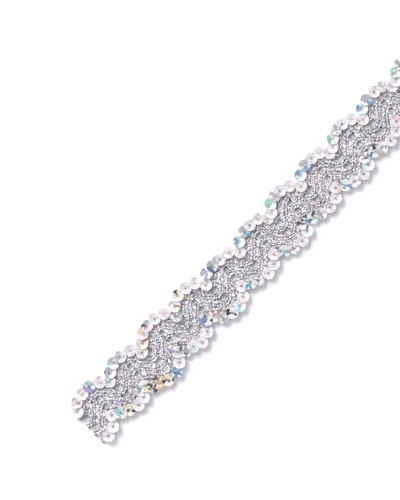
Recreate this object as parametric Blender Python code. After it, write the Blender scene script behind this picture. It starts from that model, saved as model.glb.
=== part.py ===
"""A cut length of sequin trim, lying flat.

Four metallic cords run side by side in rounded zigzags, a thin gap apart on their flanks
and open between their crests. A string of dished, overlapping sequins lies on each edge
cord. +X runs along the trim, +Y across it and +Z up. The cords' flat undersides lie on
z = 0, and the middle of the trim's box is over the origin.
"""

import math
import random
from collections import namedtuple

import bmesh
import bpy
from mathutils import Matrix, Vector

# Driving dimensions of the trim, in millimetres
MM = 0.001
REPEAT = 18.65  # one zigzag of the cords, along the trim
REPEATS = 10.5  # zigzags in the cut length
LENGTH = REPEAT * REPEATS
CREST_AT = 6.45  # the crest nearest the middle of the length
STEPS_PER_REPEAT = 12  # stations that shape one zigzag
BOX_MIDDLE_Y = 1.10  # the drift below moves the trim's box this far to one side

# The cords, from the +Y edge to the -Y edge
Cord = namedtuple("Cord", "name middle swing")  # swing is half the zigzag's height
CORDS = (
    Cord("edge_cord_upper", 7.0, 3.3),
    Cord("inner_cord_upper", 2.7, 3.6),
    Cord("inner_cord_lower", -1.6, 3.6),
    Cord("edge_cord_lower", -5.9, 3.3),
)
CORD_HEIGHT = 1.6
CORD_WIDTH = 2.3
CORD_FOOT = 1.6  # width of the flat underside
CORD_CROWN = 1.1  # width of the flattened top
CORD_WAIST_Z = 0.6  # height at which a cord is widest

# Middles of the sequins, (x, y) each, in the order in which they are strung: five or six to
# a scallop, out over the cord's bends and in to the notches between them
UPPER_SEQUINS = (
    (-96.6, 5.9), (-94.2, 8.9), (-90.1, 9.7), (-85.9, 10.0), (-81.6, 8.1), (-78.5, 5.5),
    (-75.7, 7.9), (-72.3, 9.7), (-68.3, 9.5), (-63.6, 8.5), (-60.8, 4.5), (-58.0, 7.1),
    (-55.2, 9.7), (-51.7, 10.7), (-47.4, 10.6), (-43.3, 9.3), (-40.4, 5.0), (-38.0, 8.5),
    (-34.1, 10.6), (-29.6, 10.5), (-25.6, 9.2), (-22.8, 5.5), (-19.4, 8.7), (-15.5, 9.1),
    (-11.4, 8.8), (-7.0, 8.5), (-3.6, 5.2), (-0.8, 8.4), (3.5, 9.9), (7.1, 10.1),
    (11.4, 9.5), (14.4, 6.9), (16.9, 7.5), (19.3, 10.3), (22.7, 11.3), (25.7, 11.3),
    (29.9, 10.0), (33.2, 6.7), (36.2, 9.9), (40.1, 11.5), (44.2, 11.6), (48.2, 10.9),
    (51.0, 7.9), (53.5, 8.7), (56.0, 11.2), (59.5, 12.7), (62.8, 12.7), (66.9, 11.5),
    (70.3, 8.0), (73.1, 11.4), (76.8, 12.6), (81.5, 12.7), (85.5, 12.0), (88.3, 9.1),
    (90.8, 9.6), (93.3, 12.1), (96.6, 13.2),
)
LOWER_SEQUINS = (
    (-94.6, -10.0), (-90.6, -8.6), (-87.6, -5.1), (-84.2, -6.9), (-80.9, -8.5),
    (-77.0, -9.7), (-73.2, -9.0), (-69.9, -5.9), (-67.8, -8.6), (-64.9, -9.1),
    (-61.3, -11.0), (-56.5, -11.0), (-52.9, -9.2), (-50.4, -5.6), (-47.9, -7.6),
    (-44.3, -8.6), (-40.5, -10.0), (-35.9, -8.4), (-33.3, -4.9), (-29.6, -5.7),
    (-27.3, -8.7), (-23.3, -10.1), (-19.1, -10.3), (-15.5, -8.6), (-12.9, -5.1),
    (-9.6, -6.9), (-6.3, -8.3), (-1.4, -9.2), (2.9, -8.1), (5.6, -5.3), (9.5, -7.3),
    (13.1, -9.1), (17.8, -9.5), (22.0, -8.2), (22.8, -4.9), (27.5, -5.9), (31.0, -7.2),
    (35.4, -7.8), (39.7, -6.9), (42.6, -3.8), (46.2, -5.9), (50.1, -7.6), (54.7, -8.0),
    (58.8, -6.8), (59.8, -3.7), (64.2, -4.5), (67.6, -5.7), (72.2, -6.2), (76.6, -5.0),
    (79.4, -2.2), (83.5, -4.8), (87.4, -6.6), (92.0, -7.1), (96.1, -6.0),
)
Row = namedtuple("Row", "name places seed")
ROWS = (
    Row("sequin_string_upper", UPPER_SEQUINS, 11),
    Row("sequin_string_lower", LOWER_SEQUINS, 23),
)
SEQUIN_RADIUS = 2.5
SEQUIN_SIDES = 10
SEQUIN_THICK = 0.4
SEQUIN_DISH = 0.22  # how far the middle lies below the rim
SEQUIN_Z = 2.5  # underside of a sequin at its middle
SEQUIN_LEAN = 8.0  # degrees by which each sequin laps over the one before it
SEQUIN_LEAN_VARIES = 2.5  # degrees, either way
SEQUIN_TIP_VARIES = 4.0  # degrees, either way, across the row
THREAD_WIDTH = 1.0
THREAD_LOW_Z = 1.92
THREAD_HIGH_Z = 2.53

# How the whole trim drifts sideways along its length
Drift = namedtuple("Drift", "x y")
DRIFTS = (
    Drift(-100.0, -0.5),
    Drift(-75.0, -0.5),
    Drift(-50.0, 0.1),
    Drift(-22.0, -0.4),
    Drift(0.0, 0.1),
    Drift(20.0, 0.5),
    Drift(40.0, 1.3),
    Drift(60.0, 2.0),
    Drift(80.0, 2.5),
    Drift(100.0, 2.8),
)
WANDER = 0.35  # how far the crests wander along the trim from an even pitch
WANDER_LENGTH = 61.0


def drift(x):
    """Sideways drift of the trim at a place along it, eased from row to row."""
    for before, after in zip(DRIFTS, DRIFTS[1:]):
        if x <= after.x:
            share = (x - before.x) / (after.x - before.x)
            eased = share * share * (3.0 - 2.0 * share)
            return before.y + eased * (after.y - before.y)
    return DRIFTS[-1].y


def wander(x):
    """How far the crests near a place lie off their even pitch."""
    return WANDER * math.sin(2.0 * math.pi * x / WANDER_LENGTH)


def cord_middle(x, cord):
    """Middle of a cord at a place along the trim."""
    turn = 2.0 * math.pi * (x - CREST_AT - wander(x)) / REPEAT
    y = cord.middle + cord.swing * math.cos(turn) + drift(x) - BOX_MIDDLE_Y
    return Vector((x, y, 0.0))


def headings(points):
    """Unit vector along the line at each of its points."""
    before = [points[0], *points[:-1]]
    after = [*points[1:], points[-1]]
    return [(b - a).normalized() for a, b in zip(before, after)]


def swept_mesh(name, line, section):
    """A closed bar: the section, given as (across, z) points, carried along a level line."""
    built = bmesh.new()
    rings = []
    for middle, along in zip(line, headings(line)):
        across = Vector((-along.y, along.x, 0.0))
        ring = [
            built.verts.new((middle + across * side + Vector((0.0, 0.0, z))) * MM)
            for side, z in section
        ]
        rings.append(ring)
    count = len(section)
    for ring, following in zip(rings, rings[1:]):
        for i in range(count):
            j = (i + 1) % count
            built.faces.new((ring[i], ring[j], following[j], following[i]))
    built.faces.new(rings[0])
    built.faces.new(rings[-1])
    bmesh.ops.recalc_face_normals(built, faces=built.faces)
    mesh = bpy.data.meshes.new(name)
    built.to_mesh(mesh)
    built.free()
    return mesh


def finish_material(name, color, roughness, metallic):
    """A Principled material in one colour."""
    material = bpy.data.materials.new(name)
    material.use_nodes = True
    shader = material.node_tree.nodes["Principled BSDF"]
    shader.inputs["Base Color"].default_value = (*color, 1.0)
    shader.inputs["Roughness"].default_value = roughness
    shader.inputs["Metallic"].default_value = metallic
    return material


def add_object(name, mesh, material):
    """Puts a mesh in the scene with its material."""
    mesh.materials.append(material)
    made = bpy.data.objects.new(name, mesh)
    bpy.context.scene.collection.objects.link(made)
    return made


def cord_section():
    """Outline of a cord, cut across: a flat foot, round sides and a flattened crown."""
    foot, waist, crown = CORD_FOOT / 2.0, CORD_WIDTH / 2.0, CORD_CROWN / 2.0
    return (
        (-foot, 0.0),
        (foot, 0.0),
        (waist, CORD_WAIST_Z),
        (crown, CORD_HEIGHT),
        (-crown, CORD_HEIGHT),
        (-waist, CORD_WAIST_Z),
    )


def thread_section():
    """Outline of the thread bar under the sequins, cut across."""
    half = THREAD_WIDTH / 2.0
    return (
        (-half, THREAD_LOW_Z),
        (half, THREAD_LOW_Z),
        (half, THREAD_HIGH_Z),
        (-half, THREAD_HIGH_Z),
    )


def make_cord(cord, material):
    """One zigzag cord from cut end to cut end."""
    steps = round(REPEATS * STEPS_PER_REPEAT)
    places = [LENGTH * (step / steps - 0.5) for step in range(steps + 1)]
    line = [cord_middle(x, cord) for x in places]
    return add_object(cord.name, swept_mesh(cord.name, line, cord_section()), material)


def add_sequin(built, place):
    """A ten-sided disc with a dished top, put where the matrix says."""
    rims = []
    for z in (0.0, SEQUIN_THICK):
        ring = []
        for side in range(SEQUIN_SIDES):
            turn = 2.0 * math.pi * side / SEQUIN_SIDES
            point = Vector((SEQUIN_RADIUS * math.cos(turn), SEQUIN_RADIUS * math.sin(turn), z))
            ring.append(built.verts.new((place @ point) * MM))
        rims.append(ring)
    low, high = rims
    dish = built.verts.new((place @ Vector((0.0, 0.0, SEQUIN_THICK - SEQUIN_DISH))) * MM)
    built.faces.new(low[::-1])
    for i in range(SEQUIN_SIDES):
        j = (i + 1) % SEQUIN_SIDES
        built.faces.new((low[i], low[j], high[j], high[i]))
        built.faces.new((high[i], high[j], dish))


def sequin_matrix(middle, along, chance):
    """How one sequin lies: turned along its string, leaning along it and a little askew."""
    lean = SEQUIN_LEAN + chance.uniform(-SEQUIN_LEAN_VARIES, SEQUIN_LEAN_VARIES)
    tip = chance.uniform(-SEQUIN_TIP_VARIES, SEQUIN_TIP_VARIES)
    return (
        Matrix.Translation((middle.x, middle.y, SEQUIN_Z))
        @ Matrix.Rotation(math.atan2(along.y, along.x), 4, "Z")
        @ Matrix.Rotation(math.radians(lean), 4, "Y")
        @ Matrix.Rotation(math.radians(tip), 4, "X")
    )


def sequin_guide(name, matrices, material):
    """Sequins that don't touch each other, kept as a wire guide for a union."""
    built = bmesh.new()
    for matrix in matrices:
        add_sequin(built, matrix)
    mesh = bpy.data.meshes.new(name)
    built.to_mesh(mesh)
    built.free()
    guide = add_object(name, mesh, material)
    guide.hide_render = True
    guide.display_type = "WIRE"
    return guide


def make_sequin_string(row, material):
    """One row of sequins on its thread, joined into one body."""
    chance = random.Random(row.seed)
    middles = [Vector((x, y - BOX_MIDDLE_Y, 0.0)) for x, y in row.places]
    ways = headings(middles)
    matrices = [sequin_matrix(middle, along, chance) for middle, along in zip(middles, ways)]
    cut_start = Vector((-LENGTH / 2.0, middles[0].y, 0.0))
    cut_end = Vector((LENGTH / 2.0, middles[-1].y, 0.0))
    thread = swept_mesh(row.name, [cut_start, *middles, cut_end], thread_section())
    string = add_object(row.name, thread, material)
    for word, chosen in (("odd", matrices[0::2]), ("even", matrices[1::2])):
        guide = sequin_guide(f"{row.name}_{word}_sequins", chosen, material)
        union = string.modifiers.new(f"join_{word}_sequins", "BOOLEAN")
        union.operation = "UNION"
        union.solver = "EXACT"
        union.object = guide
    return string


def main():
    for old in list(bpy.data.objects):
        bpy.data.objects.remove(old)
    lurex = finish_material("silver_lurex_cord", (0.62, 0.60, 0.65), 0.34, 0.85)
    sequin = finish_material("pearl_sequin", (0.86, 0.84, 0.88), 0.14, 0.30)
    for cord in CORDS:
        make_cord(cord, lurex)
    for row in ROWS:
        make_sequin_string(row, sequin)


main()
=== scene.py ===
"""The looks of the sequin trim: crinkled silver cords, their binding and faceted pearl sequins."""

import itertools
import math
import random
from collections import namedtuple

import bpy
import numpy as np
from mathutils import Matrix, Vector


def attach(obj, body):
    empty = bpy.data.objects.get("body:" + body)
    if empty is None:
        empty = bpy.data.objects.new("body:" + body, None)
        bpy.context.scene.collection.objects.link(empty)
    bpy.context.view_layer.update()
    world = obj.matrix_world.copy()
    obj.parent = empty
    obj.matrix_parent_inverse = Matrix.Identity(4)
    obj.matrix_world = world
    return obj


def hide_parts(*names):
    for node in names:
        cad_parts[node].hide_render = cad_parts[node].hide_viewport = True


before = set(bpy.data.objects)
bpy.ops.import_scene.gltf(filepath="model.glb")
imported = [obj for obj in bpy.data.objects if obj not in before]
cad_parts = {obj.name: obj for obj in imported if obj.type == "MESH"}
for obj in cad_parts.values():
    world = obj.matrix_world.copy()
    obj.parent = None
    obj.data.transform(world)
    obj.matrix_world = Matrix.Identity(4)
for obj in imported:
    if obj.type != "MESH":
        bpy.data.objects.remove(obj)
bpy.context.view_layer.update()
BODY = "root"

TURN = 2.0 * math.pi  # once round, in radians

# The trim's own sizes, in millimetres, as its solids have them
MM = 0.001
REPEAT = 18.65  # one zigzag of the cords, along the trim
REPEATS = 10.5  # zigzags in the cut length
LENGTH = REPEAT * REPEATS
CREST_AT = 6.45  # the crest nearest the middle of the length
BOX_MIDDLE_Y = 1.10  # the drift below moves the trim's box this far to one side
Cord = namedtuple("Cord", "node middle swing seed")  # swing is half the zigzag's height
CORDS = (
    Cord("edge_cord_upper", 7.0, 3.3, 101),
    Cord("inner_cord_upper", 2.7, 3.6, 102),
    Cord("inner_cord_lower", -1.6, 3.6, 103),
    Cord("edge_cord_lower", -5.9, 3.3, 104),
)
Drift = namedtuple("Drift", "x y")
DRIFTS = (
    Drift(-100.0, -0.5),
    Drift(-75.0, -0.5),
    Drift(-50.0, 0.1),
    Drift(-22.0, -0.4),
    Drift(0.0, 0.1),
    Drift(20.0, 0.5),
    Drift(40.0, 1.3),
    Drift(60.0, 2.0),
    Drift(80.0, 2.5),
    Drift(100.0, 2.8),
)
WANDER = 0.35  # how far the crests wander along the trim from an even pitch
WANDER_LENGTH = 61.0
# Middles of the sequins, (x, y) each, in the order in which they are strung: five or six to
# a scallop, out over the cord's bends and in to the notches between them
UPPER_SEQUINS = (
    (-96.6, 5.9), (-94.2, 8.9), (-90.1, 9.7), (-85.9, 10.0), (-81.6, 8.1), (-78.5, 5.5),
    (-75.7, 7.9), (-72.3, 9.7), (-68.3, 9.5), (-63.6, 8.5), (-60.8, 4.5), (-58.0, 7.1),
    (-55.2, 9.7), (-51.7, 10.7), (-47.4, 10.6), (-43.3, 9.3), (-40.4, 5.0), (-38.0, 8.5),
    (-34.1, 10.6), (-29.6, 10.5), (-25.6, 9.2), (-22.8, 5.5), (-19.4, 8.7), (-15.5, 9.1),
    (-11.4, 8.8), (-7.0, 8.5), (-3.6, 5.2), (-0.8, 8.4), (3.5, 9.9), (7.1, 10.1),
    (11.4, 9.5), (14.4, 6.9), (16.9, 7.5), (19.3, 10.3), (22.7, 11.3), (25.7, 11.3),
    (29.9, 10.0), (33.2, 6.7), (36.2, 9.9), (40.1, 11.5), (44.2, 11.6), (48.2, 10.9),
    (51.0, 7.9), (53.5, 8.7), (56.0, 11.2), (59.5, 12.7), (62.8, 12.7), (66.9, 11.5),
    (70.3, 8.0), (73.1, 11.4), (76.8, 12.6), (81.5, 12.7), (85.5, 12.0), (88.3, 9.1),
    (90.8, 9.6), (93.3, 12.1), (96.6, 13.2),
)
LOWER_SEQUINS = (
    (-94.6, -10.0), (-90.6, -8.6), (-87.6, -5.1), (-84.2, -6.9), (-80.9, -8.5),
    (-77.0, -9.7), (-73.2, -9.0), (-69.9, -5.9), (-67.8, -8.6), (-64.9, -9.1),
    (-61.3, -11.0), (-56.5, -11.0), (-52.9, -9.2), (-50.4, -5.6), (-47.9, -7.6),
    (-44.3, -8.6), (-40.5, -10.0), (-35.9, -8.4), (-33.3, -4.9), (-29.6, -5.7),
    (-27.3, -8.7), (-23.3, -10.1), (-19.1, -10.3), (-15.5, -8.6), (-12.9, -5.1),
    (-9.6, -6.9), (-6.3, -8.3), (-1.4, -9.2), (2.9, -8.1), (5.6, -5.3), (9.5, -7.3),
    (13.1, -9.1), (17.8, -9.5), (22.0, -8.2), (22.8, -4.9), (27.5, -5.9), (31.0, -7.2),
    (35.4, -7.8), (39.7, -6.9), (42.6, -3.8), (46.2, -5.9), (50.1, -7.6), (54.7, -8.0),
    (58.8, -6.8), (59.8, -3.7), (64.2, -4.5), (67.6, -5.7), (72.2, -6.2), (76.6, -5.0),
    (79.4, -2.2), (83.5, -4.8), (87.4, -6.6), (92.0, -7.1), (96.1, -6.0),
)
SEQUIN_LEAN = 8.0  # degrees by which each sequin laps over the one before it
SEQUIN_LEAN_VARIES = 2.5
SEQUIN_TIP_VARIES = 4.0

# A cord's make: two strands side by side over a core, each braided from flat metallic strips
STRAND_OFFSET = 0.57  # from the cord's middle to a strand's middle
STRAND_HALF_WIDTH = 0.56
STRAND_HALF_HEIGHT = 0.66
CORD_MIDDLE_Z = 0.80
STRIPS_EACH_WAY = 5
STRIP_TURN = 3.4  # length of cord in which a strip goes once round its strand
STRIP_STEP = 0.30  # length of cord between a strip's creases
STRIP_HALF_WIDTH = 0.18
STRIP_HALF_THICK = 0.03
STRIP_WEAVE = 0.07  # how far a strip rises and dips as it passes over and under
STRIP_ROLL = 67.2  # degrees by which a strip twists about its own line, either way
STRIP_CRINKLE = 0.08
STRIP_STRAY = 0.16  # radians by which a strip strays from its even place round its strand
STRIP_RISE = 0.03  # how far it rises and sinks besides its weave
STRIP_WIDTH_VARIES = 0.22  # share of its width
LOWEST_Z = 0.02
# Painted highlights and dark reflections: brightnesses that one crease of a strip can have, and
# how often each comes
STRIP_PAINTED_GLINTS = (0.10, 0.62, 0.94, 1.0)
STRIP_PAINTED_GLINT_ODDS = (0.04, 0.06, 0.14, 0.76)
GREEN_SHARE = 0.985  # of a silver's green against its red and blue
# Levels on a strand, from -1 at its bottom to 1 at its top, and the strips' painted shade there:
# dark low on the strand's sides, in the grooves between strands and round the openings, light on
# its top
STRAND_LEVELS = (-1.0, -0.5, 0.3, 0.75)
STRAND_PAINTED_SHADES = (0.75, 0.14, 0.14, 1.0)
CORE_HALF_WIDTH = 0.95
CORE_HALF_HEIGHT = 0.50
CORE_SIDES = 12
CORE_STEP = 0.9
DRAWN_STEP = 0.05  # between the places from which a cord's line is measured

# The binding between the cords: a crinkled openwork sheet, open at the zigzag's tips
BINDING_SEED = 77
BINDING_INSET = 0.4  # from each cut end
BINDING_COLUMNS = 60  # columns of faces in one zigzag
BINDING_LINES = 10  # rows of faces from one cord's middle to the next one's
BINDING_LOW_Z = 0.15
BINDING_TOP_Z = 1.15
BINDING_CRINKLE = 0.22
# Painted highlights and dark reflections: brightnesses of the binding's faces, and how often each
# comes
BINDING_PAINTED_GLINTS = (0.15, 0.6, 0.85, 1.0)
BINDING_PAINTED_GLINT_ODDS = (0.1, 0.2, 0.3, 0.4)
WALL_PAINTED_SHADE = 0.06  # painted shade of the yarn round an opening, darkening the opening
OPEN_FROM = 0.1  # share of the way from one cord's middle to the next, where openings start
OPEN_TO = 0.9
CREST_OPEN = 0.945  # cosine of the zigzag's angle, past which the sheet is open
TROUGH_OPEN = -0.85

# A sequin's form
SEQUIN_RADIUS = 2.5
SEQUIN_HOLE = 0.38
SEQUIN_LIP = 0.66  # radius of the pressed lip round the hole
SEQUIN_FLAT = 1.05  # radius to the fold between the flat middle and the facets
SEQUIN_FACETS = 8
SEQUIN_COLUMNS = 4  # columns of faces in one facet
SEQUIN_SLOPE = 0.20  # rise of a facet for each millimetre outwards
SEQUIN_THICK = 0.12
SEQUIN_RINGS = (SEQUIN_HOLE, SEQUIN_LIP, SEQUIN_FLAT, 1.35, 1.75, 2.15, SEQUIN_RADIUS)
RING_PAINTED_SHADES = (0.60, 0.84, 0.97, 0.90, 1.0, 0.95)  # painted shade of each ring of faces, from the hole out, darkest round the hole
SEQUIN_Z = 1.95  # underside of the flat middle
SEQUIN_SPIN = 0.25  # radians by which a sequin's facets are turned, either way
# Patches of colour on a facet, from the rim in: their middles lie between these radii
PATCH_FROM = (1.95, 1.25, 0.5)
PATCH_TO = (2.4, 1.8, 1.1)
PATCHES = len(PATCH_FROM)
PATCH_STRAY = 0.4  # share of a facet's width by which a patch lies to one side, either way
PATCH_DIMMEST = 0.80
PATCH_BRIGHTEST = 1.03

# The thread, with points along and above a sequin's middle, in the order of its run
THREAD_RADIUS = 0.085
THREAD_SIDES = 6
THREAD_IN_HOLE = (0.0, -0.15)
THREAD_PAST_HOLE = 0.25
THREAD_UNDER_NEXT = (-1.0, -0.30)
THREAD_AT_RIM = 0.75  # share of the film's thickness between the thread and the rim


def drift(x):
    """Sideways drift of the trim at a place along it, eased from row to row."""
    for before, after in zip(DRIFTS, DRIFTS[1:]):
        if x <= after.x:
            share = (x - before.x) / (after.x - before.x)
            eased = share * share * (3.0 - 2.0 * share)
            return before.y + eased * (after.y - before.y)
    return DRIFTS[-1].y


def wander(x):
    """How far the crests near a place lie off their even pitch."""
    return WANDER * math.sin(TURN * x / WANDER_LENGTH)


def turn_at(x):
    """Angle of the zigzag at a place along the trim, nought at a crest."""
    return TURN * (x - CREST_AT - wander(x)) / REPEAT


def cord_y(x, middle, swing):
    """Place across the trim of a cord's middle."""
    return middle + swing * math.cos(turn_at(x)) + drift(x) - BOX_MIDDLE_Y


def unit(rows):
    """Each row of an array, scaled to length one."""
    return rows / np.maximum(np.linalg.norm(rows, axis=-1, keepdims=True), 1e-12)


def even_line(cord, step):
    """Distances along a cord's middle at even steps, the points there and the ways across."""
    xs = np.linspace(-LENGTH / 2.0, LENGTH / 2.0, int(LENGTH / DRAWN_STEP))
    ys = np.array([cord_y(x, cord.middle, cord.swing) for x in xs])
    run = np.concatenate([[0.0], np.cumsum(np.hypot(np.diff(xs), np.diff(ys)))])
    count = int(run[-1] / step)
    along = np.linspace(0.0, run[-1], count + 1)
    points = np.stack([np.interp(along, run, xs), np.interp(along, run, ys), 0.0 * along], axis=1)
    ways = unit(np.gradient(points, axis=0))
    across = np.stack([-ways[:, 1], ways[:, 0], 0.0 * along], axis=1)
    return along, points, across


def mesh_of(name, points, faces):
    """A mesh from points in millimetres and faces that all have as many corners."""
    mesh = bpy.data.meshes.new(name)
    corners = faces.shape[1]
    mesh.vertices.add(len(points))
    mesh.vertices.foreach_set("co", (points * MM).astype(np.float32).ravel())
    mesh.loops.add(faces.size)
    mesh.loops.foreach_set("vertex_index", faces.astype(np.int32).ravel())
    mesh.polygons.add(len(faces))
    mesh.polygons.foreach_set("loop_start", np.arange(0, faces.size, corners, dtype=np.int32))
    mesh.update(calc_edges=True)
    return mesh


def paint(mesh, name, colors):
    """Keeps one colour for each four-sided face of a mesh, as an attribute of its corners."""
    layer = mesh.color_attributes.new(name, "FLOAT_COLOR", "CORNER")
    rows = np.concatenate([colors, np.ones((len(colors), 1))], axis=1)
    layer.data.foreach_set("color", np.repeat(rows, 4, axis=0).astype(np.float32).ravel())


def silver(grey):
    """Rows of silver colours from a column of brightnesses."""
    return np.concatenate([grey, GREEN_SHARE * grey, grey], axis=1)


def piece(name, mesh, material, nodes=(), smooth=False):
    """Puts a mesh in the scene as a piece of the trim."""
    mesh.materials.append(material)
    made = bpy.data.objects.new(name, mesh)
    bpy.context.scene.collection.objects.link(made)
    mesh.polygons.foreach_set("use_smooth", [smooth] * len(mesh.polygons))
    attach(made, BODY)
    if nodes:
        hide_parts(*nodes)
    return made


# Materials


class Recipe:
    """A material's node tree, with short calls to add and join its nodes."""

    def __init__(self, name):
        self.material = bpy.data.materials.new(name)
        self.material.use_nodes = True
        self.tree = self.material.node_tree
        self.shader = self.tree.nodes["Principled BSDF"]

    def node(self, kind, values=None, links=None, **settings):
        made = self.tree.nodes.new(kind)
        for key, value in settings.items():
            setattr(made, key, value)
        for key, value in (values or {}).items():
            made.inputs[key].default_value = value
        for key, socket in (links or {}).items():
            self.tree.links.new(socket, made.inputs[key])
        return made

    def set(self, **values):
        for key, value in values.items():
            self.shader.inputs[key.replace("_", " ")].default_value = value

    def link(self, key, socket):
        self.tree.links.new(socket, self.shader.inputs[key])

    def place(self):
        return self.node("ShaderNodeTexCoord").outputs["Object"]

    def noise(self, scale, detail=2.0):
        made = self.node(
            "ShaderNodeTexNoise", {"Scale": scale, "Detail": detail}, {"Vector": self.place()}
        )
        return made.outputs["Fac"]

    def cells(self, feature, scale):
        made = self.node(
            "ShaderNodeTexVoronoi", {"Scale": scale}, {"Vector": self.place()}, feature=feature
        )
        return made.outputs["Distance"]

    def ramp(self, socket, stops):
        made = self.node("ShaderNodeValToRGB", links={"Fac": socket})
        marks = made.color_ramp.elements
        while len(marks) < len(stops):
            marks.new(0.5)
        for mark, (place, color) in zip(marks, stops):
            mark.position = place
            mark.color = (*color, 1.0)
        return made.outputs["Color"]

    def multiply(self, first, second, amount=1.0):
        made = self.node("ShaderNodeMix", data_type="RGBA", blend_type="MULTIPLY")
        made.inputs["Factor"].default_value = amount
        self.tree.links.new(first, made.inputs[6])
        self.tree.links.new(second, made.inputs[7])
        return made.outputs[2]

    def span(self, socket, low, high):
        made = self.node("ShaderNodeMapRange", {"To Min": low, "To Max": high}, {"Value": socket})
        return made.outputs["Result"]

    def bump(self, height, strength, distance):
        made = self.node(
            "ShaderNodeBump", {"Strength": strength, "Distance": distance}, {"Height": height}
        )
        self.link("Normal", made.outputs["Normal"])


def lurex_material():
    """Crinkled metallic strip: painted highlights and dark reflections from its faces, bright
    bulges between creases darkened as painted shade, and a few black specks of painted shade and
    dark reflection.
    """
    recipe = Recipe("silver_lurex_strip")
    # Painted highlights and dark reflections: each face's brightness from its mesh
    painted_glint = recipe.node("ShaderNodeAttribute", attribute_name="painted_glint").outputs["Color"]
    cloud = recipe.noise(scale=900.0)
    tint = recipe.ramp(cloud, ((0.30, (0.94, 0.92, 0.97)), (0.70, (1.0, 0.99, 1.0))))
    # Painted shade: dark lines along the cells' edges for the creases, and black specks for shaded
    # crevices and dark reflections
    bulges = recipe.cells("DISTANCE_TO_EDGE", scale=1000.0)
    creases = recipe.ramp(bulges, ((0.015, (0.12, 0.115, 0.13)), (0.07, (1.0, 1.0, 1.0))))
    spots = recipe.cells("F1", scale=900.0)
    specks = recipe.ramp(spots, ((0.23, (0.0, 0.0, 0.01)), (0.26, (1.0, 1.0, 1.0))))
    dark = recipe.multiply(creases, specks)
    bright = recipe.multiply(painted_glint, tint)
    recipe.link("Base Color", recipe.multiply(bright, dark))
    fine = recipe.noise(scale=5200.0, detail=3.0)
    recipe.link("Roughness", recipe.span(fine, low=0.20, high=0.42))
    recipe.bump(fine, strength=0.35, distance=0.00004)
    recipe.set(Metallic=0.15, Specular_IOR_Level=0.9)
    return recipe.material


def core_material():
    """The yarn inside a cord, coloured dark as painted shade in the gaps between the strips,
    lighter at its knots.
    """
    recipe = Recipe("lurex_core")
    knots = recipe.cells("F1", scale=2600.0)
    tint = recipe.ramp(knots, ((0.0, (0.70, 0.68, 0.73)), (0.55, (0.20, 0.19, 0.22))))
    recipe.link("Base Color", tint)
    recipe.bump(knots, strength=0.6, distance=0.0001)
    recipe.set(Metallic=0.6, Roughness=0.45)
    return recipe.material


def sequin_material():
    """Pressed film with a pearl gloss over the colours of its patches, which are partly painted
    reflection.
    """
    recipe = Recipe("pearl_sequin_film")
    tint = recipe.node("ShaderNodeAttribute", attribute_name="tint").outputs["Color"]
    # Painted sheen: faint pink, white and blue tints in the base colour for the pearl's shimmer
    cloud = recipe.noise(scale=620.0, detail=3.0)
    sheen = recipe.ramp(
        cloud, ((0.32, (1.0, 0.93, 0.98)), (0.5, (1.0, 1.0, 0.98)), (0.68, (0.92, 0.98, 1.0)))
    )
    recipe.link("Base Color", recipe.multiply(tint, sheen, amount=0.5))
    fine = recipe.noise(scale=1500.0)
    recipe.link("Roughness", recipe.span(fine, low=0.10, high=0.26))
    recipe.bump(fine, strength=0.35, distance=0.00012)
    recipe.set(Metallic=0.15, IOR=1.6, Coat_Weight=0.35, Coat_Roughness=0.06)
    recipe.set(Thin_Film_Thickness=420.0, Thin_Film_IOR=1.7)
    return recipe.material


def thread_material():
    """Twisted grey thread."""
    recipe = Recipe("silver_thread")
    wave = recipe.node(
        "ShaderNodeTexWave", {"Scale": 2200.0, "Distortion": 2.0}, {"Vector": recipe.place()}
    )
    tint = recipe.ramp(wave.outputs["Fac"], ((0.2, (0.42, 0.41, 0.46)), (0.8, (0.86, 0.85, 0.9))))
    recipe.link("Base Color", tint)
    recipe.bump(wave.outputs["Fac"], strength=0.4, distance=0.00005)
    recipe.set(Metallic=0.5, Roughness=0.35)
    return recipe.material


def floor_material():
    """Smooth pale paper."""
    recipe = Recipe("pale_floor")
    cloud = recipe.noise(scale=3.0)
    tint = recipe.ramp(cloud, ((0.3, (0.915, 0.91, 0.925)), (0.7, (0.93, 0.925, 0.935))))
    recipe.link("Base Color", tint)
    recipe.set(Roughness=0.9, Specular_IOR_Level=0.1)
    return recipe.material


# Cords


def eased_noise(chance, count):
    """Random values along a line, each a little like its neighbours."""
    raw = chance.normal(0.0, 1.0, count + 2)
    return 0.25 * raw[:-2] + 0.5 * raw[1:-1] + 0.25 * raw[2:]


def strip_faces(stations, strips, sides=4):
    """Faces of alike tubes, one after another in a joined mesh; four-sided ones are capped."""
    station = np.arange(stations - 1)[:, None]
    side = np.arange(sides)[None, :]
    following = (side + 1) % sides
    one = np.stack(
        [
            station * sides + side,
            station * sides + following,
            (station + 1) * sides + following,
            (station + 1) * sides + side,
        ],
        axis=-1,
    ).reshape(-1, 4)
    if sides == 4:
        caps = np.array([[3, 2, 1, 0], [0, 1, 2, 3]])
        caps[1] += (stations - 1) * sides
        one = np.concatenate([one, caps])
    starts = np.arange(strips)[:, None, None] * stations * sides
    return (one[None] + starts).reshape(-1, 4)


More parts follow.
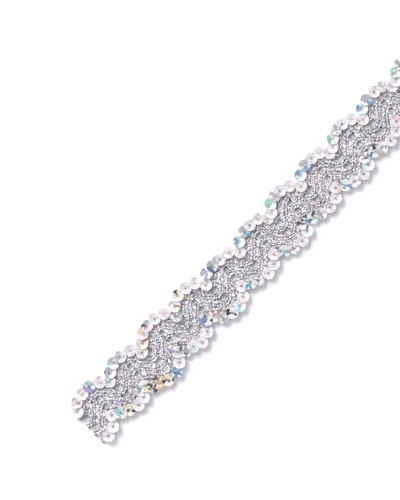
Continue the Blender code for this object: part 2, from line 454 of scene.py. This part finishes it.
def strip_points(cord, chance):
    """Points of all the strips in one cord's two strands, and each crease's painted shade."""
    along, line, across = even_line(cord, STRIP_STEP)
    up = np.array([0.0, 0.0, 1.0])
    count = len(along)
    rings = []
    painted_shades = []
    for offset in (-STRAND_OFFSET, STRAND_OFFSET):
        for way, strip in itertools.product((1.0, -1.0), range(STRIPS_EACH_WAY)):
            angle = TURN * (strip / STRIPS_EACH_WAY + way * along / STRIP_TURN)
            angle = angle + STRIP_STRAY * eased_noise(chance, count)
            weave = way * STRIP_WEAVE * np.cos(STRIPS_EACH_WAY * angle + math.pi * strip)
            weave = weave + STRIP_RISE * eased_noise(chance, count)
            wide = offset + (STRAND_HALF_WIDTH + weave) * np.cos(angle)
            high = (STRAND_HALF_HEIGHT + weave) * np.sin(angle)
            middles = line + across * wide[:, None] + up * (CORD_MIDDLE_Z + high)[:, None]
            outwards = unit(
                across * (np.cos(angle) / STRAND_HALF_WIDTH)[:, None]
                + up * (np.sin(angle) / STRAND_HALF_HEIGHT)[:, None]
            )
            onwards = unit(np.gradient(middles, axis=0))
            sideways = unit(np.cross(onwards, outwards))
            roll = math.radians(STRIP_ROLL) * eased_noise(chance, count)
            facing = unit(outwards * np.cos(roll)[:, None] + sideways * np.sin(roll)[:, None])
            edge = unit(np.cross(onwards, facing))
            varied = 1.0 + STRIP_WIDTH_VARIES * chance.uniform(-1.0, 1.0, count)
            half = STRIP_HALF_WIDTH * varied
            ring = np.stack(
                [
                    middles - edge * half[:, None],
                    middles + facing * STRIP_HALF_THICK,
                    middles + edge * half[:, None],
                    middles - facing * STRIP_HALF_THICK,
                ],
                axis=1,
            )
            ring = ring + STRIP_CRINKLE * chance.uniform(-1.0, 1.0, (count, 1, 3))
            rings.append(ring)
            # Painted shade by the crease's height round its strand, darkest low on its sides
            painted_shades.append(np.interp(np.sin(angle[:-1]), STRAND_LEVELS, STRAND_PAINTED_SHADES))
    points = np.concatenate(rings).reshape(-1, 3)
    points[:, 2] = np.maximum(points[:, 2], LOWEST_Z)
    return points, np.array(painted_shades)


def make_cord(cord, material):
    """One cord's braid of crinkled strips."""
    chance = np.random.default_rng(cord.seed)
    points, painted_shades = strip_points(cord, chance)
    strips, creases = painted_shades.shape
    faces = strip_faces(creases + 1, strips)
    mesh = mesh_of(cord.node + "_braid", points, faces)
    # One painted brightness for each crease of each strip, its painted highlight and dark
    # reflection times its painted shade, on all four of its faces, then the two caps'
    painted_glints = chance.choice(STRIP_PAINTED_GLINTS, painted_shades.shape, p=STRIP_PAINTED_GLINT_ODDS)
    per_strip = np.repeat(painted_glints * painted_shades, 4, axis=1)
    with_caps = np.concatenate([per_strip, per_strip[:, :2]], axis=1)
    paint(mesh, "painted_glint", silver(with_caps.reshape(-1, 1)))
    return piece(cord.node + "_braid", mesh, material, [cord.node])


def make_core(cord, material):
    """The yarn core inside a cord's strips."""
    along, line, across = even_line(cord, CORE_STEP)
    turns = np.linspace(0.0, TURN, CORE_SIDES, endpoint=False)
    wide = CORE_HALF_WIDTH * np.cos(turns)
    high = CORD_MIDDLE_Z + CORE_HALF_HEIGHT * np.sin(turns)
    rings = line[:, None, :] + across[:, None, :] * wide[None, :, None]
    rings[:, :, 2] += high[None, :]
    points = rings.reshape(-1, 3)
    faces = strip_faces(len(along), 1, CORE_SIDES)
    mesh = mesh_of(cord.node + "_core", points, faces)
    return piece(cord.node + "_core", mesh, material, smooth=True)


def binding_ys(xs):
    """Places across the trim of the sheet's corners, line by line from the first cord's middle."""
    shares = [line / BINDING_LINES for line in range(BINDING_LINES)]
    lines = []
    for upper, lower in zip(CORDS, CORDS[1:]):
        for share in shares + ([1.0] if lower is CORDS[-1] else []):
            middle = upper.middle + share * (lower.middle - upper.middle)
            swing = upper.swing + share * (lower.swing - upper.swing)
            lines.append([cord_y(x, middle, swing) for x in xs])
    return np.array(lines)


def is_open(row, x):
    """Whether the sheet is open there: at the zigzag's tips, between two cords."""
    share = (row % BINDING_LINES + 0.5) / BINDING_LINES
    height = math.cos(turn_at(x))
    # Next to the outer cords it stays closed under the scallops' sequins
    pair = row // BINDING_LINES
    at_crest = height > CREST_OPEN and pair > 0
    at_trough = height < TROUGH_OPEN and pair < len(CORDS) - 2
    return OPEN_FROM < share < OPEN_TO and (at_crest or at_trough)


def make_binding(material):
    """The yarn that binds neighbouring cords where they touch: a thin crinkled openwork sheet."""
    chance = np.random.default_rng(BINDING_SEED)
    columns = round(REPEATS * BINDING_COLUMNS)
    end = LENGTH / 2.0 - BINDING_INSET
    xs = np.linspace(-end, end, columns + 1)
    ys = binding_ys(xs)
    rows = len(ys)
    level = np.stack([np.broadcast_to(xs, ys.shape), ys], axis=-1)
    tops = BINDING_TOP_Z + BINDING_CRINKLE * chance.uniform(-1.0, 1.0, (rows, columns + 1, 1))
    under = np.full((rows, columns + 1, 1), BINDING_LOW_Z)
    points = np.array([np.concatenate([level, z], axis=-1) for z in (under, tops)])
    points = points.reshape(-1, 3)

    def corner(layer, row, column):
        return (layer * rows + row) * (columns + 1) + column

    def solid(row, column):
        if not (0 <= row < rows - 1 and 0 <= column < columns):
            return False
        return not is_open(row, (xs[column] + xs[column + 1]) / 2.0)

    faces = []
    walls = []
    area = 0.0
    rise = corner(1, 0, 0)
    for row in range(rows - 1):
        for column in range(columns):
            if not solid(row, column):
                continue
            a, b = corner(0, row, column), corner(0, row, column + 1)
            c, d = corner(0, row + 1, column + 1), corner(0, row + 1, column)
            faces.append((a, b, c, d))
            faces.append((a + rise, d + rise, c + rise, b + rise))
            area += (xs[column + 1] - xs[column]) * abs(ys[row, column] - ys[row + 1, column])
            if not solid(row - 1, column):
                walls.append((a, a + rise, b + rise, b))
            if not solid(row + 1, column):
                walls.append((d, c, c + rise, d + rise))
            if not solid(row, column - 1):
                walls.append((a, d, d + rise, a + rise))
            if not solid(row, column + 1):
                walls.append((b, b + rise, c + rise, c))
    mesh = mesh_of("binding_yarn", points, np.array(faces + walls))
    # Painted highlights and dark reflections on the sheet's faces, and painted shade on its walls
    # round the openings
    painted_glints = chance.choice(BINDING_PAINTED_GLINTS, (len(faces), 1), p=BINDING_PAINTED_GLINT_ODDS)
    paint(mesh, "painted_glint", silver(np.concatenate([painted_glints, np.full((len(walls), 1), WALL_PAINTED_SHADE)])))
    return piece("binding_yarn", mesh, material), area * MM * MM


# Sequins

# One letter for each colour that a patch can have: the film's own tints, and the colours of its
# painted reflection
COLORS = {
    "w": (0.94, 0.92, 0.95),  # white
    "c": (0.94, 0.91, 0.81),  # cream
    "p": (0.94, 0.83, 0.89),  # pink
    "o": (0.94, 0.83, 0.78),  # peach
    "h": (0.90, 0.68, 0.74),  # rose
    "l": (0.84, 0.79, 0.91),  # lilac
    "a": (0.70, 0.90, 0.93),  # aqua
    "y": (0.36, 0.72, 0.80),  # cyan
    "t": (0.34, 0.70, 0.64),  # teal
    "g": (0.34, 0.50, 0.42),  # dull green
    "b": (0.21, 0.33, 0.52),  # blue
    "d": (0.10, 0.52, 0.58),  # deep cyan
    "n": (0.12, 0.16, 0.28),  # navy
    "v": (0.42, 0.34, 0.62),  # violet
    "m": (0.54, 0.49, 0.56),  # mauve
    "s": (0.42, 0.46, 0.54),  # slate
    "z": (0.58, 0.57, 0.61),  # grey
    "f": (0.76, 0.75, 0.79),  # silver
    "k": (0.035, 0.04, 0.06),  # black
    "r": (0.50, 0.16, 0.15),  # red
    "e": (0.84, 0.54, 0.56),  # soft red
    "q": (0.80, 0.42, 0.18),  # orange
    "j": (0.82, 0.62, 0.28),  # gold
}

# A sequin's look: its eight facets' colours from +X round by +Y, then the colours that
# some of its patches have instead, and the share of such patches. The colours are partly
# the film's own tints and partly painted reflection: the bright, dark and vivid colours
# that its holographic film reflects at this one view
Tone = namedtuple("Tone", "facets specks share")
TONES = {
    "w": Tone("wwcfwpww", "wfz", 0.26),
    "p": Tone("wpwpwwpw", "wlfz", 0.26),
    "q": Tone("pwwlwpfw", "wlpfz", 0.30),
    "l": Tone("lwwplwap", "wlpfz", 0.32),
    "o": Tone("owpowohw", "wofz", 0.24),
    "r": Tone("hphwwleh", "wpf", 0.20),
    "a": Tone("awlwzwww", "wlz", 0.25),
    "b": Tone("wybbsaww", "wya", 0.12),
    "m": Tone("zmmmwsby", "wzm", 0.12),
    "t": Tone("cattgwcw", "wctg", 0.30),
    "z": Tone("zwmwzwzw", "zwmwg", 0.60),
    "s": Tone("wssnswcw", "wzs", 0.30),
    "d": Tone("zzssnnsw", "wzs", 0.20),
    "v": Tone("mztpvvbw", "wlb", 0.20),
    "e": Tone("cwzyazcw", "wczm", 0.40),
    "i": Tone("zsmyawcs", "wzc", 0.30),
    "j": Tone("wymmzcww", "wcz", 0.30),
    "c": Tone("pwzccwmr", "wcmz", 0.35),
    "C": Tone("lhhcwwcw", "wcp", 0.20),
    "F": Tone("rwhrzwjc", "wcjz", 0.35),
    "G": Tone("ccjhwwmm", "wcz", 0.35),
    "D": Tone("wsskshhw", "wpz", 0.25),
    "P": Tone("wwhawwwl", "wpf", 0.20),
    "R": Tone("srrvvzjs", "zwwz", 0.55),
    "T": Tone("wjkjcwct", "wcw", 0.30),
    "S": Tone("wwbswsww", "wzs", 0.20),
    "H": Tone("tjwwbwcc", "wctj", 0.40),
    "k": Tone("wwkkwwkw", "wkz", 0.30),
    "f": Tone("qkkmrhss", "wqcjk", 0.45),
    "h": Tone("wcjkwwkk", "kwcj", 0.45),
    "y": Tone("abyynbna", "byanw", 0.40),
    "V": Tone("awwvlytw", "wly", 0.25),
    "u": Tone("wmkmmkmw", "mzwk", 0.40),
    "W": Tone("wwcwzwyw", "wzw", 0.30),
    "n": Tone("mnbbbvww", "wbl", 0.15),
    "E": Tone("rrwckwwm", "wchz", 0.35),
    "g": Tone("wmqcwgsw", "wgcz", 0.40),
    "x": Tone("wwpaayap", "waf", 0.20),
    "B": Tone("wwgwdbww", "wgw", 0.30),
    "M": Tone("wwwzzgww", "wzws", 0.50),
    "A": Tone("wwwgabwb", "wac", 0.25),
    "L": Tone("mwlwmwmw", "wlmw", 0.45),
    "I": Tone("wwwaawwa", "wazg", 0.25),
    "K": Tone("bwmkwcws", "wmk", 0.25),
    "N": Tone("wkwwnwwg", "wa", 0.12),
}

# The tone of each sequin of the two strings, in the order of their places
UPPER_CHART = "pcCvpesijpwFGDPpRcTPpwSdaqobmwwwqtzapobmwwwqtzapobmwwwqtz"
LOWER_CHART = "wqpthwlHkfhyqVuWwqnEgkxopBMqlrALqIKNMqlrALqIKNMqlrALqI"
Row = namedtuple("Row", "node places chart seed")
ROWS = (
    Row("sequin_string_upper", UPPER_SEQUINS, UPPER_CHART, 11),
    Row("sequin_string_lower", LOWER_SEQUINS, LOWER_CHART, 23),
)


def headings(points):
    """Unit vector along the line at each of its points."""
    before = [points[0], *points[:-1]]
    after = [*points[1:], points[-1]]
    return [(b - a).normalized() for a, b in zip(before, after)]


def sequin_matrix(middle, along, chance):
    """How one sequin lies: turned along its string, leaning along it and a little askew."""
    lean = SEQUIN_LEAN + chance.uniform(-SEQUIN_LEAN_VARIES, SEQUIN_LEAN_VARIES)
    tip = chance.uniform(-SEQUIN_TIP_VARIES, SEQUIN_TIP_VARIES)
    return (
        Matrix.Translation((middle.x, middle.y, SEQUIN_Z))
        @ Matrix.Rotation(math.atan2(along.y, along.x), 4, "Z")
        @ Matrix.Rotation(math.radians(lean), 4, "Y")
        @ Matrix.Rotation(math.radians(tip), 4, "X")
    )


def row_matrices(row):
    """Where each sequin of a row lies, and how far each is turned along its string."""
    chance = random.Random(row.seed)
    middles = [Vector((x, y - BOX_MIDDLE_Y, 0.0)) for x, y in row.places]
    ways = headings(middles)
    matrices = [sequin_matrix(middle, way, chance) for middle, way in zip(middles, ways)]
    return matrices, [math.atan2(way.y, way.x) for way in ways]


def sequin_form():
    """Points and faces of one sequin about its own middle, and each face's painted shade."""
    around = SEQUIN_FACETS * SEQUIN_COLUMNS
    turns = np.arange(around) * TURN / around
    facet_turn = TURN / SEQUIN_FACETS
    off_middle = (turns + facet_turn / 2.0) % facet_turn - facet_turn / 2.0
    fold = SEQUIN_FLAT * math.cos(facet_turn / 2.0)
    layers = []
    for base in (0.0, SEQUIN_THICK):
        for radius in SEQUIN_RINGS:
            reach = radius * np.cos(off_middle)
            rise = base + SEQUIN_SLOPE * np.maximum(reach - fold, 0.0)
            layers.append(np.stack([radius * np.cos(turns), radius * np.sin(turns), rise], axis=1))
    points = np.concatenate(layers)
    rings = len(SEQUIN_RINGS)
    faces = []
    lights = []
    for ring in range(rings - 1):
        for side in range(around):
            following = (side + 1) % around
            low = [ring * around + side, ring * around + following]
            low += [(ring + 1) * around + following, (ring + 1) * around + side]
            high = [corner + rings * around for corner in low]
            faces += [low, high[::-1]]
            lights += [RING_PAINTED_SHADES[ring]] * 2
    for ring, flip in ((0, True), (rings - 1, False)):
        for side in range(around):
            following = (side + 1) % around
            low = [ring * around + side, ring * around + following]
            wall = [low[0], low[1], low[1] + rings * around, low[0] + rings * around]
            faces.append(wall[::-1] if flip else wall)
            lights.append(1.0)
    return points, np.array(faces), np.array(lights)[:, None]


def sequin_colors(letter, centers, lights, chance):
    """A colour for each face of a sequin: uneven patches, a few to a facet, from its letter,
    partly painted reflection, times the painted shade of the face's ring.
    """
    tone = TONES[letter]
    facets = np.repeat(np.arange(SEQUIN_FACETS), PATCHES)
    stray = chance.uniform(-PATCH_STRAY, PATCH_STRAY, len(facets))
    turns = (facets + stray) * TURN / SEQUIN_FACETS
    reaches = chance.uniform(PATCH_FROM, PATCH_TO, (SEQUIN_FACETS, PATCHES)).ravel()
    patches = np.stack([reaches * np.cos(turns), reaches * np.sin(turns)], axis=1)
    colors = np.array([COLORS[code] for code in tone.facets])[facets]
    specks = np.array([COLORS[code] for code in tone.specks])
    speck = specks[chance.integers(0, len(specks), len(facets))]
    broken = chance.random((len(facets), 1)) < tone.share
    colors = np.where(broken, speck, colors)
    colors = colors * chance.uniform(PATCH_DIMMEST, PATCH_BRIGHTEST, (len(facets), 1))
    apart = np.linalg.norm(centers[:, None, :] - patches[None, :, :], axis=2)
    return np.clip(colors[np.argmin(apart, axis=1)] * lights, 0.0, 1.0)


def make_sequins(row, material):
    """All the sequins of one string, as one joined mesh."""
    points, faces, lights = sequin_form()
    centers = points[faces].mean(axis=1)[:, :2]
    chance = np.random.default_rng(row.seed)
    all_points, all_faces, all_colors = [], [], []
    flat = np.concatenate([points, np.ones((len(points), 1))], axis=1)
    for index, (matrix, turned) in enumerate(zip(*row_matrices(row))):
        spin = Matrix.Rotation(chance.uniform(-SEQUIN_SPIN, SEQUIN_SPIN) - turned, 4, "Z")
        placed = flat @ np.array(matrix @ spin).T
        all_points.append(placed[:, :3])
        all_faces.append(faces + index * len(points))
        all_colors.append(sequin_colors(row.chart[index], centers, lights, chance))
    mesh = mesh_of(row.node + "_sequins", np.concatenate(all_points), np.concatenate(all_faces))
    # The tint attribute carries each face's colour: the film's own tints, painted reflection and
    # the painted shade of its ring
    paint(mesh, "tint", np.concatenate(all_colors))
    return piece(row.node + "_sequins", mesh, material, [row.node])


def make_thread(row, material):
    """The thread of a sequin string: over each sequin from its hole, under the next one."""
    top = SEQUIN_THICK + THREAD_RADIUS
    rise = SEQUIN_SLOPE * (SEQUIN_RADIUS - SEQUIN_FLAT)
    over_rim = rise + THREAD_AT_RIM * SEQUIN_THICK
    over_top = ((THREAD_PAST_HOLE, top), (SEQUIN_FLAT, top), (SEQUIN_RADIUS, over_rim + top))
    run = (THREAD_IN_HOLE, *over_top)
    path = []
    matrices, _ = row_matrices(row)
    for matrix, following in zip(matrices, [*matrices[1:], None]):
        path += [matrix @ Vector((out, 0.0, up)) for out, up in run]
        if following is not None:
            under = THREAD_UNDER_NEXT
            path.append(following @ Vector((under[0], 0.0, under[1])))
    line = np.array(path)
    ways = unit(np.gradient(line, axis=0))
    side_on = unit(np.cross(ways, np.array([0.0, 0.0, 1.0])))
    up = np.cross(side_on, ways)
    turns = np.linspace(0.0, TURN, THREAD_SIDES, endpoint=False)
    rings = (
        line[:, None, :]
        + THREAD_RADIUS * side_on[:, None, :] * np.cos(turns)[None, :, None]
        + THREAD_RADIUS * up[:, None, :] * np.sin(turns)[None, :, None]
    )
    faces = strip_faces(len(line), 1, THREAD_SIDES)
    mesh = mesh_of(row.node + "_thread", rings.reshape(-1, 3), faces)
    return piece(row.node + "_thread", mesh, material, smooth=True)


# The photograph's frame: the place under its middle, and its scale
VIEW_MIDDLE = Vector((-14.43, 17.30 - BOX_MIDDLE_Y, 0.0))
PIXELS_PER_MM = 2.44
FRAME_HEIGHT = 500
CAMERA_HEIGHT = 0.6
CAMERA_ROLL = -45.0

# The studio
FLOOR_REACH = 1500.0  # from its middle to its sides
KEY_PLACE = (0.0, 0.65, 0.51)  # metres
KEY_SIZE = 0.45
KEY_POWER = 8.1
KEY_COLOR = (1.0, 0.99, 0.98)
SURROUND_COLOR = (0.97, 0.96, 1.0, 1.0)
SURROUND_STRENGTH = 0.67


def make_camera():
    """Straight down on the trim, rolled so that its +X end points to the upper right."""
    data = bpy.data.cameras.new("camera")
    camera = bpy.data.objects.new("camera", data)
    bpy.context.scene.collection.objects.link(camera)
    camera.location = (VIEW_MIDDLE.x * MM, VIEW_MIDDLE.y * MM, CAMERA_HEIGHT)
    camera.rotation_euler = (0.0, 0.0, math.radians(CAMERA_ROLL))
    data.sensor_fit = "VERTICAL"
    view_height = FRAME_HEIGHT / PIXELS_PER_MM * MM
    data.angle = 2.0 * math.atan(view_height / 2.0 / CAMERA_HEIGHT)
    bpy.context.scene.camera = camera


def make_key():
    """A soft box on the +Y side that faces the trim."""
    data = bpy.data.lights.new("key", "AREA")
    data.shape = "SQUARE"
    data.size = KEY_SIZE
    data.energy = KEY_POWER
    data.color = KEY_COLOR
    light = bpy.data.objects.new("key", data)
    bpy.context.scene.collection.objects.link(light)
    light.location = KEY_PLACE
    light.rotation_euler = Vector(KEY_PLACE).to_track_quat("Z", "Y").to_euler()


def make_studio():
    """A pale floor, a soft light and an even pale surround."""
    corners = np.array([[-1.0, -1.0, 0.0], [1.0, -1.0, 0.0], [1.0, 1.0, 0.0], [-1.0, 1.0, 0.0]])
    floor = mesh_of("floor", FLOOR_REACH * corners, np.array([[0, 1, 2, 3]]))
    floor.materials.append(floor_material())
    made = bpy.data.objects.new("floor", floor)
    bpy.context.scene.collection.objects.link(made)
    make_key()
    world = bpy.data.worlds.new("surround")
    world.use_nodes = True
    backdrop = world.node_tree.nodes["Background"]
    backdrop.inputs["Color"].default_value = SURROUND_COLOR
    backdrop.inputs["Strength"].default_value = SURROUND_STRENGTH
    bpy.context.scene.world = world
    bpy.context.scene.view_settings.view_transform = "Standard"


def main():
    make_camera()
    make_studio()
    lurex = lurex_material()
    core = core_material()
    film = sequin_material()
    thread = thread_material()
    for cord in CORDS:
        make_cord(cord, lurex)
        make_core(cord, core)
    for row in ROWS:
        make_sequins(row, film)
        make_thread(row, thread)
    binding, area = make_binding(lurex)


main()
